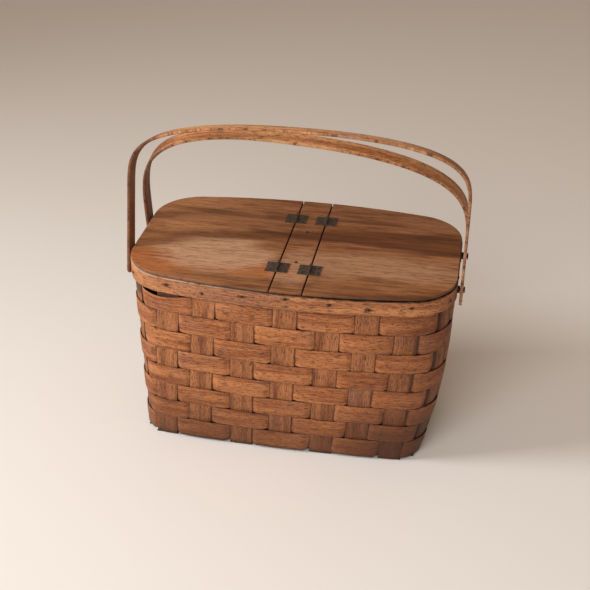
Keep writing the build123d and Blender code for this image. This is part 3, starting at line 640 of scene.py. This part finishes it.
# Colours of the lid
LID_DARK, LID_LIGHT = (0.150, 0.047, 0.014), (0.350, 0.145, 0.056)
LID_CLOUD, LID_LEFT = (0.37, 0.175, 0.080), (0.50, 0.225, 0.098)
# The last colour here is the pale tone of the painted sheen
LID_RUDDY, LID_SHEEN = (0.46, 0.150, 0.043), (0.57, 0.335, 0.205)
LID_BAND_DARK, LID_BAND_LIGHT = (0.058, 0.014, 0.002), (0.145, 0.040, 0.006)
LID_LINES, LID_DASHES = (0.095, 0.028, 0.010), (0.05, 0.015, 0.006)
# The last colour here is the painted shade at the board's foot
LID_SIDE, LID_GAP_SHADE = (0.060, 0.022, 0.009), (0.006, 0.003, 0.002)

# Dark and light colour of each metal
HINGE_COLORS = (0.050, 0.037, 0.030), (0.125, 0.088, 0.066)
NAIL_COLORS = (0.016, 0.010, 0.007), (0.045, 0.022, 0.013)


def darker(color, share):
    return tuple(share * c for c in color)


class Nodes:
    """Short ways to build a material's nodes."""

    def __init__(self, name):
        self.material = bpy.data.materials.new(name)
        self.material.use_nodes = True
        self.tree = self.material.node_tree
        self.tree.nodes.clear()
        self.output = self.tree.nodes.new("ShaderNodeOutputMaterial")
        self.shader = self.tree.nodes.new("ShaderNodeBsdfPrincipled")
        self.tree.links.new(self.shader.outputs[0], self.output.inputs[0])

    def node(self, kind, inputs=None, **settings):
        made = self.tree.nodes.new(kind)
        for key, value in settings.items():
            setattr(made, key, value)
        for key, value in (inputs or {}).items():
            self.set(made.inputs[key], value)
        return made

    def set(self, socket, value):
        if isinstance(value, bpy.types.NodeSocket):
            self.tree.links.new(value, socket)
        elif isinstance(value, tuple) and len(value) == 3 and socket.type == "RGBA":
            socket.default_value = (*value, 1.0)
        else:
            socket.default_value = value

    def attribute(self, name, vector=False):
        made = self.node("ShaderNodeAttribute", attribute_name=name)
        return made.outputs["Vector" if vector else "Fac"]

    def position(self):
        return self.node("ShaderNodeTexCoord").outputs["Object"]

    def axes(self, vector):
        return tuple(self.node("ShaderNodeSeparateXYZ", {"Vector": vector}).outputs)

    def math(self, operation, a, b=0.0):
        made = self.node("ShaderNodeMath", operation=operation)
        self.set(made.inputs[0], a)
        self.set(made.inputs[1], b)
        return made.outputs[0]

    def times(self, a, b):
        return self.math("MULTIPLY", a, b)

    def plus(self, a, b):
        return self.math("ADD", a, b)

    def minus(self, a, b):
        return self.math("SUBTRACT", a, b)

    def highest(self, a, b):
        return self.math("MAXIMUM", a, b)

    def stretch(self, vector, scale):
        return self.node("ShaderNodeMapping", {"Vector": vector, "Scale": scale}).outputs[0]

    def noise(self, vector, scale, detail=4.0, rough=0.55, distortion=0.0):
        inputs = {"Vector": vector, "Scale": scale, "Detail": detail, "Roughness": rough}
        inputs["Distortion"] = distortion
        return self.node("ShaderNodeTexNoise", inputs).outputs["Fac"]

    def ramp(self, value, low, high, out_low=0.0, out_high=1.0):
        """Smooth step from out_low at low to out_high at high."""
        inputs = {"Value": value, "From Min": low, "From Max": high}
        inputs.update({"To Min": out_low, "To Max": out_high})
        settings = {"interpolation_type": "SMOOTHSTEP", "clamp": True}
        return self.node("ShaderNodeMapRange", inputs, **settings).outputs[0]

    def blend(self, share, a, b):
        made = self.node("ShaderNodeMix", data_type="RGBA", clamp_factor=True)
        # Sockets 0, 6 and 7 are the factor and the two colours, 2 is the mixed colour
        self.set(made.inputs[0], share)
        self.set(made.inputs[6], a)
        self.set(made.inputs[7], b)
        return made.outputs[2]

    def bump(self, height, distance, strength):
        inputs = {"Height": height, "Distance": distance, "Strength": strength}
        return self.node("ShaderNodeBump", inputs).outputs[0]

    def finish(self, color, roughness, normal=None, inputs=None):
        self.set(self.shader.inputs["Base Color"], color)
        self.set(self.shader.inputs["Roughness"], roughness)
        if normal is not None:
            self.set(self.shader.inputs["Normal"], normal)
        for key, value in (inputs or {}).items():
            self.set(self.shader.inputs[key], value)
        return self.material


def splint_material(name, colors, fine=1.0, kind="weaver"):
    """Aged varnished splint: grain lines run along the strip, dirt and painted shade lie at its
    edges, and painted shade where it tucks under.
    """
    n = Nodes(name)
    pale, middle, dark = colors
    grain = n.attribute("grain", True)
    x, y, z = n.axes(n.position())
    strands = n.noise(n.stretch(grain, (16, 330 * fine, 1)), 1.0, 6.0, 0.70, 0.5)
    broad = n.noise(n.stretch(grain, (6, 75, 1)), 1.0, 3.0, 0.5, 0.4)
    patches = n.noise(n.stretch(grain, (8, 11, 1)), 1.0, 3.0, 0.6)
    dashes = n.noise(n.stretch(grain, (85, 720 * fine, 1)), 1.0, 3.0, 0.6)
    flecks = n.noise(n.stretch(grain, (260, 700, 1)), 1.0, 3.0, 0.6)
    fuzz = n.noise(n.stretch(grain, (120, 300, 1)), 1.0, 2.0)
    edge = n.ramp(n.attribute("edge"), 0.05, 1.3, 1.0, 0.0)

    color = n.blend(n.ramp(strands, 0.34, 0.64), dark, middle)
    color = n.blend(n.ramp(broad, 0.36, 0.66), color, pale)
    greyed = tuple(0.55 * c + 0.45 * 0.3 * sum(middle) for c in middle)
    color = n.blend(n.ramp(patches, 0.52, 0.72, 0.0, 0.45), color, greyed)
    color = n.blend(n.ramp(patches, 0.46, 0.30, 0.0, 0.35), color, dark)
    lines = n.ramp(dashes, 0.53, 0.61, 0.0, 0.78)
    ink = darker(dark, 0.30)
    color = n.blend(lines, color, ink)
    color = n.blend(n.ramp(flecks, 0.55, 0.64, 0.0, 0.62), color, ink)

    # Edge darkening: real dirt and painted shade along the strip's edges
    grime_and_shade = n.times(edge, n.ramp(fuzz, 0.3, 0.6, 0.5, 1.0))
    if kind in ("weaver", "stake"):
        color = paint_weave_shade(n, color, dark, fuzz, x, z)
        # Painted shade where the splint tucks behind a crossing one
        tucked_shade = n.ramp(n.attribute("tuck_shade"), 0.3, 0.9, 0.0, 0.85)
        grime_and_shade = n.highest(grime_and_shade, tucked_shade)
    if kind == "stake":
        grime_and_shade = n.highest(grime_and_shade, stake_shadow(n, x, y, z))
    if kind == "handle":
        left = n.ramp(x, -0.17, -0.215, 0.0, 0.72)
        right = n.ramp(x, 0.12, 0.21, 0.0, 0.45)
        color = n.blend(n.highest(left, right), color, HANDLE_ENDS)
        wear_and_sheen = n.times(edge, n.ramp(broad, 0.45, 0.62, 0.10, 0.8))
        grime_and_shade = n.times(n.highest(grime_and_shade, wear_and_sheen), 0.6)
    # The dirt and painted shade are laid on in the soot colour
    color = n.blend(n.times(grime_and_shade, 0.8), color, SOOT_AND_SHADE)
    if kind == "rim":
        color = mark_rim(n, color, strands, flecks, fuzz, x)

    rough = n.ramp(strands, 0.3, 0.7, 0.64, 0.50)
    normal = n.bump(n.minus(strands, n.times(lines, 0.9)), 0.0004, 0.7)
    varnish = {"Coat Weight": 0.05, "Coat Roughness": 0.42, "Specular IOR Level": 0.28}
    return n.finish(color, rough, normal, varnish)


def paint_weave_shade(n, color, dark, fuzz, x, z):
    """Painted shade: darker wood near the floor and toward the right end, and a painted contact
    shadow where it stands.
    """
    color = n.blend(n.ramp(z, 0.0, 0.13, 0.58, 0.0), color, darker(dark, 0.42))
    # Painted contact shadow along the foot of the weave
    foot = n.ramp(z, 0.003, 0.011, 0.85, 0.0)
    color = n.blend(n.times(foot, n.ramp(fuzz, 0.3, 0.6, 0.5, 1.0)), color, SOOT_AND_SHADE)
    # Painted shade at the low right of the weave
    low_right_shade = n.times(n.ramp(z, 0.04, 0.13, 1.0, 0.0), n.ramp(x, 0.06, 0.16))
    color = n.blend(n.times(low_right_shade, 0.65), color, darker(dark, 0.25))
    return n.blend(n.ramp(x, 0.06, 0.22, 0.0, 0.42), color, darker(dark, 0.6))


def stake_shadow(n, x, y, z):
    """Painted shadow on the front: beside the stakes at the right corner, and under the rim at the
    left.
    """
    beside = n.times(n.ramp(x, 0.160, 0.185), n.ramp(n.attribute("edge"), 1.5, 8.0, 1.0, 0.0))
    under_rim = n.times(n.ramp(z, 0.236, 0.250), n.ramp(x, -0.12, -0.15))
    return n.times(n.highest(beside, under_rim), n.ramp(y, 0.0, -0.03))


def mark_rim(n, color, strands, flecks, fuzz, x):
    """Stains round the nails, a painted highlight on the top edge at the left and painted shade on
    it at the right.
    """
    stain = n.times(n.attribute("stain"), n.ramp(flecks, 0.35, 0.6, 0.35, 1.2))
    streak = n.times(stain, n.ramp(strands, 0.62, 0.40, 0.55, 1.1))
    color = n.blend(n.ramp(streak, 0.08, 0.75, 0.0, 0.90), color, NAIL_STAIN)
    rail = n.attribute("rail")
    # Painted highlight along the rim's top edge at the left
    edge_highlight = n.times(n.ramp(rail, 0.90, 0.97), n.ramp(x, 0.02, -0.16))
    edge_highlight = n.times(edge_highlight, n.ramp(fuzz, 0.30, 0.5, 0.3, 1.0))
    color = n.blend(n.times(edge_highlight, 0.75), color, RIM_HIGHLIGHT)
    # Painted shade of the gap under the lid, along the rim's top edge at the right
    rim_gap_shade = n.times(n.ramp(rail, 0.80, 0.95), n.ramp(x, -0.05, 0.08))
    return n.blend(n.times(rim_gap_shade, n.ramp(fuzz, 0.30, 0.60, 0.45, 0.95)), color, SOOT_AND_SHADE)


def around(n, x, y, centre, reach, low=0.65, high=1.3):
    """1 inside an oval about centre, fading out between low and high of its reach."""
    dx = n.math("DIVIDE", n.minus(x, centre[0]), reach[0])
    dy = n.math("DIVIDE", n.minus(y, centre[1]), reach[1])
    away = n.math("SQRT", n.plus(n.times(dx, dx), n.times(dy, dy)))
    return n.ramp(away, low, high, 1.0, 0.0)


def lid_material():
    """Varnished board: long dark streaks along X, pale places of painted sheen, a dark edge and
    painted shade at its foot.
    """
    n = Nodes("lid board")
    spot = n.position()
    x, y, _ = n.axes(spot)
    streaks = n.noise(n.stretch(spot, (7, 110, 1)), 1.0, 6.0, 0.66, 0.7)
    fine = n.noise(n.stretch(spot, (30, 560, 1)), 1.0, 5.0, 0.66, 0.3)
    dashes = n.noise(n.stretch(spot, (80, 800, 1)), 1.0, 3.0, 0.6)
    cloud = n.noise(n.stretch(spot, (9, 34, 1)), 1.0, 4.0, 0.55, 0.6)
    drift = n.times(n.minus(cloud, 0.5), 0.07)
    drifted = n.plus(x, n.times(drift, 1.6)), n.plus(y, n.times(drift, 0.75))

    color = n.blend(n.ramp(streaks, 0.34, 0.64), LID_DARK, LID_LIGHT)
    color = n.blend(n.ramp(cloud, 0.42, 0.66, 0.0, 0.4), color, LID_CLOUD)
    color = n.blend(n.ramp(x, 0.0, -0.20, 0.0, 0.55), color, LID_LEFT)
    ruddy = around(n, *drifted, (-0.19, -0.088), (0.07, 0.032))
    ruddy = n.highest(ruddy, around(n, *drifted, (-0.055, -0.085), (0.08, 0.016)))
    color = n.blend(n.times(ruddy, 0.75), color, LID_RUDDY)
    # Pale places of painted sheen on the left flap, the right flap and the strip
    wear_and_sheen = around(n, *drifted, (-0.112, -0.052), (0.088, 0.054), 0.6, 1.15)
    sheen_right = around(n, *drifted, (0.125, -0.048), (0.13, 0.034))
    wear_and_sheen = n.highest(wear_and_sheen, n.times(sheen_right, 0.5))
    sheen_strip = around(n, *drifted, (0.01, -0.07), (0.03, 0.05))
    wear_and_sheen = n.highest(wear_and_sheen, n.times(sheen_strip, 0.55))
    color = n.blend(n.times(wear_and_sheen, 0.85), color, LID_SHEEN)

    shade = n.blend(n.ramp(streaks, 0.35, 0.62), LID_BAND_DARK, LID_BAND_LIGHT)
    color = n.blend(lid_bands(n, x, y, drifted), color, shade)
    color = n.blend(n.ramp(fine, 0.50, 0.64, 0.0, 0.70), color, LID_LINES)
    color = n.blend(n.ramp(dashes, 0.58, 0.68, 0.0, 0.6), color, LID_DASHES)
    side = n.ramp(n.attribute("edge"), 0.0, 0.9, 1.0, 0.0)
    color = n.blend(n.times(side, 0.62), color, LID_SIDE)
    # Painted shade, near black, at the board's foot in the gap over the rim
    color = n.blend(n.attribute("lid_gap_shade"), color, LID_GAP_SHADE)

    rough = n.ramp(streaks, 0.35, 0.65, 0.56, 0.46)
    normal = n.bump(n.plus(streaks, n.times(fine, 0.5)), 0.00025, 0.5)
    varnish = {"Coat Weight": 0.08, "Coat Roughness": 0.32, "Specular IOR Level": 0.3}
    return n.finish(color, rough, normal, varnish)


def lid_bands(n, x, y, drifted):
    """Dark bands of the lid: one along its middle, two behind it and the front edge."""
    centre = n.ramp(x, -0.20, 0.10, -0.002, 0.034)
    half = n.ramp(x, -0.10, 0.20, 0.004, 0.020)
    away = n.minus(n.math("ABSOLUTE", n.minus(drifted[1], centre)), half)
    bands = n.times(n.ramp(away, 0.0, 0.017, 1.0, 0.0), n.ramp(x, -0.20, 0.04, 0.42, 0.88))
    left = around(n, *drifted, (-0.13, 0.080), (0.085, 0.012), 0.3, 1.4)
    right = around(n, *drifted, (0.115, 0.092), (0.045, 0.010), 0.3, 1.5)
    bands = n.highest(bands, n.times(n.highest(left, right), 0.55))
    front = n.times(n.ramp(n.attribute("edge"), 3.0, 17.0, 1.0, 0.0), n.ramp(y, -0.09, -0.12))
    front = n.times(front, n.ramp(x, 0.0, 0.10, 0.1, 0.75))
    return n.highest(bands, front)


def iron_material(name, colors, share):
    """Pitted iron. The share says how far its rust covers it."""
    n = Nodes(name)
    dark, rust = colors
    place = n.position()
    spots = n.noise(place, 900.0, 4.0, 0.6)
    large = n.noise(place, 240.0, 3.0, 0.5)
    color = n.blend(n.ramp(n.plus(spots, large), 0.8, 1.25, 0.0, share), dark, rust)
    pits = n.ramp(n.noise(place, 520.0, 2.0, 0.5), 0.60, 0.70)
    color = n.blend(n.times(pits, 0.85), color, darker(dark, 0.25))
    normal = n.bump(n.minus(spots, pits), 0.00035, 0.7)
    return n.finish(color, n.ramp(spots, 0.3, 0.7, 0.66, 0.48), normal, {"Metallic": 0.35})


def bar_material():
    """Plain wood with streaks along Y."""
    n = Nodes("cross bar wood")
    streaks = n.noise(n.stretch(n.position(), (260, 9, 200)), 1.0, 5.0, 0.6, 0.5)
    color = n.blend(n.ramp(streaks, 0.35, 0.65), BAR_DARK, BAR_LIGHT)
    return n.finish(color, n.ramp(streaks, 0.3, 0.7, 0.68, 0.52), n.bump(streaks, 0.0003, 0.5))


# ---- the basket ----

def dress(piece, body, slot, material, *nodes):
    piece.data.materials.append(material)
    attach(piece, body)
    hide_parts(*nodes)


def repaint(material, nodes):
    """Give CAD nodes that are carried over their material."""
    for name in nodes:
        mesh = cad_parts[name].data
        mesh.materials.clear()
        mesh.materials.append(material)


def make_weave():
    weaver_wood = splint_material("weaver splint", WEAVER_COLORS)
    stake_wood = splint_material("stake splint", STAKE_COLORS, 1.3, "stake")
    for row in range(1, ROWS + 1):
        dress(weaver(row), "basket", "weaver_splint", weaver_wood, f"weaver_{row}")
    for piece, node in make_stakes():
        dress(piece, "basket", "stake_splint", stake_wood, node)


def make_rim():
    wood = splint_material("rim wood", RIM_COLORS, kind="rim")
    sites = rim_nail_sites()
    outer = hoop("rim_outer_band", RIM_THICKNESS / 2, RIM_THICKNESS, 61, 15.5, sites)
    inner = hoop("rim_inner_band", INNER_HOOP_MIDDLE, INNER_RIM, 62, 1.5)
    dress(outer, "basket", "rim_wood", wood, "rim_outer_hoop")
    dress(inner, "basket", "rim_wood", wood, "rim_inner_hoop")


def make_lid():
    wood = lid_material()
    strip = board("lid_strip_board", STRIP_LEFT, STRIP_RIGHT)
    left = board("lid_left_board", None, STRIP_LEFT - SLIT)
    right = board("lid_right_board", STRIP_RIGHT + SLIT, None)
    dress(strip, "basket", "lid_board", wood, "centre_strip")
    dress(left, "left_flap", "lid_board", wood, "left_lid_flap")
    dress(right, "right_flap", "lid_board", wood, "right_lid_flap")


def make_handles():
    wood = splint_material("handle wood", HANDLE_COLORS, kind="handle")
    # Lean in degrees, haunch, crown and droop of each strap
    front = handle("handle_front_strap", -RIVET_Y, 12.018576, 95.0, 199.3, 0.0, 71)
    rear = handle("handle_rear_strap", RIVET_Y, -10.268622, 10.0, 173.9, 0.07, 72)
    dress(front, "front_handle", "handle_wood", wood, "front_handle_strap")
    dress(rear, "rear_handle", "handle_wood", wood, "rear_handle_strap")


def paint_fittings():
    iron = iron_material("aged hinge iron", HINGE_COLORS, 0.8)
    rust = iron_material("rusted nail", NAIL_COLORS, 0.7)
    repaint(iron, [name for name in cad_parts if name.startswith("hinge_")])
    repaint(iron, [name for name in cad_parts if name.endswith("leaf_nails")])
    repaint(rust, ["rim_nails", "centre_strip_brads", "handle_rivets_front"])
    repaint(rust, ["handle_rivets_rear", "rivet_washers", "handle_spacers"])
    repaint(bar_material(), ["cross_bar"])


# ---- floor, light and camera ----

FLOOR_HALF = 6.0  # m, half of its side
FLOOR_COLOR, FLOOR_ROUGHNESS = (0.86, 0.85, 0.84), 0.6
WORLD_COLOR, WORLD_STRENGTH = (0.80, 0.60, 0.43, 1), 0.42
# The camera that was solved from the photograph: mm, degrees, pixels and mm
CAMERA_PLACE = (236.329, -1393.649, 1036.874)
CAMERA_YAW, CAMERA_PITCH, CAMERA_ROLL = -9.82325863, 30.4109308, 0.733106031
FOCAL_LENGTH, PHOTO_WIDTH = 1125.651, 590
SENSOR_WIDTH = 36.0


def make_floor():
    corners = [(-1, -1), (1, -1), (1, 1), (-1, 1)]
    points = [Vector((x, y, 0)) * FLOOR_HALF / MM for x, y in corners]
    floor = new_object("studio_floor", points, [(0, 1, 2, 3)], {}, False)
    floor.data.materials.append(Nodes("studio floor").finish(FLOOR_COLOR, FLOOR_ROUGHNESS))


def area_light(name, place, target, size, power, color, spread=180):
    """Square light at a place, aimed at a target: metres, watts and degrees."""
    data = bpy.data.lights.new(name, "AREA")
    data.shape = "SQUARE"
    data.size = size
    data.energy = power
    data.color = color
    data.spread = math.radians(spread)
    made = bpy.data.objects.new(name, data)
    bpy.context.scene.collection.objects.link(made)
    made.location = place
    aim = Vector(target) - Vector(place)
    made.rotation_euler = aim.to_track_quat("-Z", "Y").to_euler()


def make_lights():
    world = bpy.data.worlds.new("studio")
    bpy.context.scene.world = world
    world.use_nodes = True
    background = world.node_tree.nodes["Background"]
    background.inputs["Color"].default_value = WORLD_COLOR
    background.inputs["Strength"].default_value = WORLD_STRENGTH
    bpy.context.scene.view_settings.view_transform = "Standard"
    area_light("window", (-2.9, -1.0, 1.6), (0.1, -0.1, 0.1), 1.0, 15, (1.0, 0.97, 0.94), 75)
    area_light("front", (-0.6, -2.7, 1.8), (0, -0.3, 0.1), 1.9, 60, (1.0, 0.98, 0.96))


def make_camera():
    yaw, pitch, roll = (math.radians(a) for a in (CAMERA_YAW, CAMERA_PITCH, CAMERA_ROLL))
    level = math.cos(pitch)
    forward = Vector((math.sin(yaw) * level, math.cos(yaw) * level, -math.sin(pitch)))
    right = Vector((math.cos(yaw), -math.sin(yaw), 0))
    up = right.cross(forward)
    cosine, sine = math.cos(roll), math.sin(roll)
    right, up = right * cosine + up * sine, up * cosine - right * sine
    data = bpy.data.cameras.new("camera")
    data.sensor_width = SENSOR_WIDTH
    data.sensor_fit = "HORIZONTAL"
    data.lens = FOCAL_LENGTH / PHOTO_WIDTH * SENSOR_WIDTH
    camera = bpy.data.objects.new("camera", data)
    bpy.context.scene.collection.objects.link(camera)
    axes = Matrix((right, up, -forward)).transposed().to_4x4()
    camera.matrix_world = Matrix.Translation(Vector(CAMERA_PLACE) * MM) @ axes
    bpy.context.scene.camera = camera


make_weave()
make_rim()
make_lid()
make_handles()
paint_fittings()
make_floor()
make_lights()
make_camera()
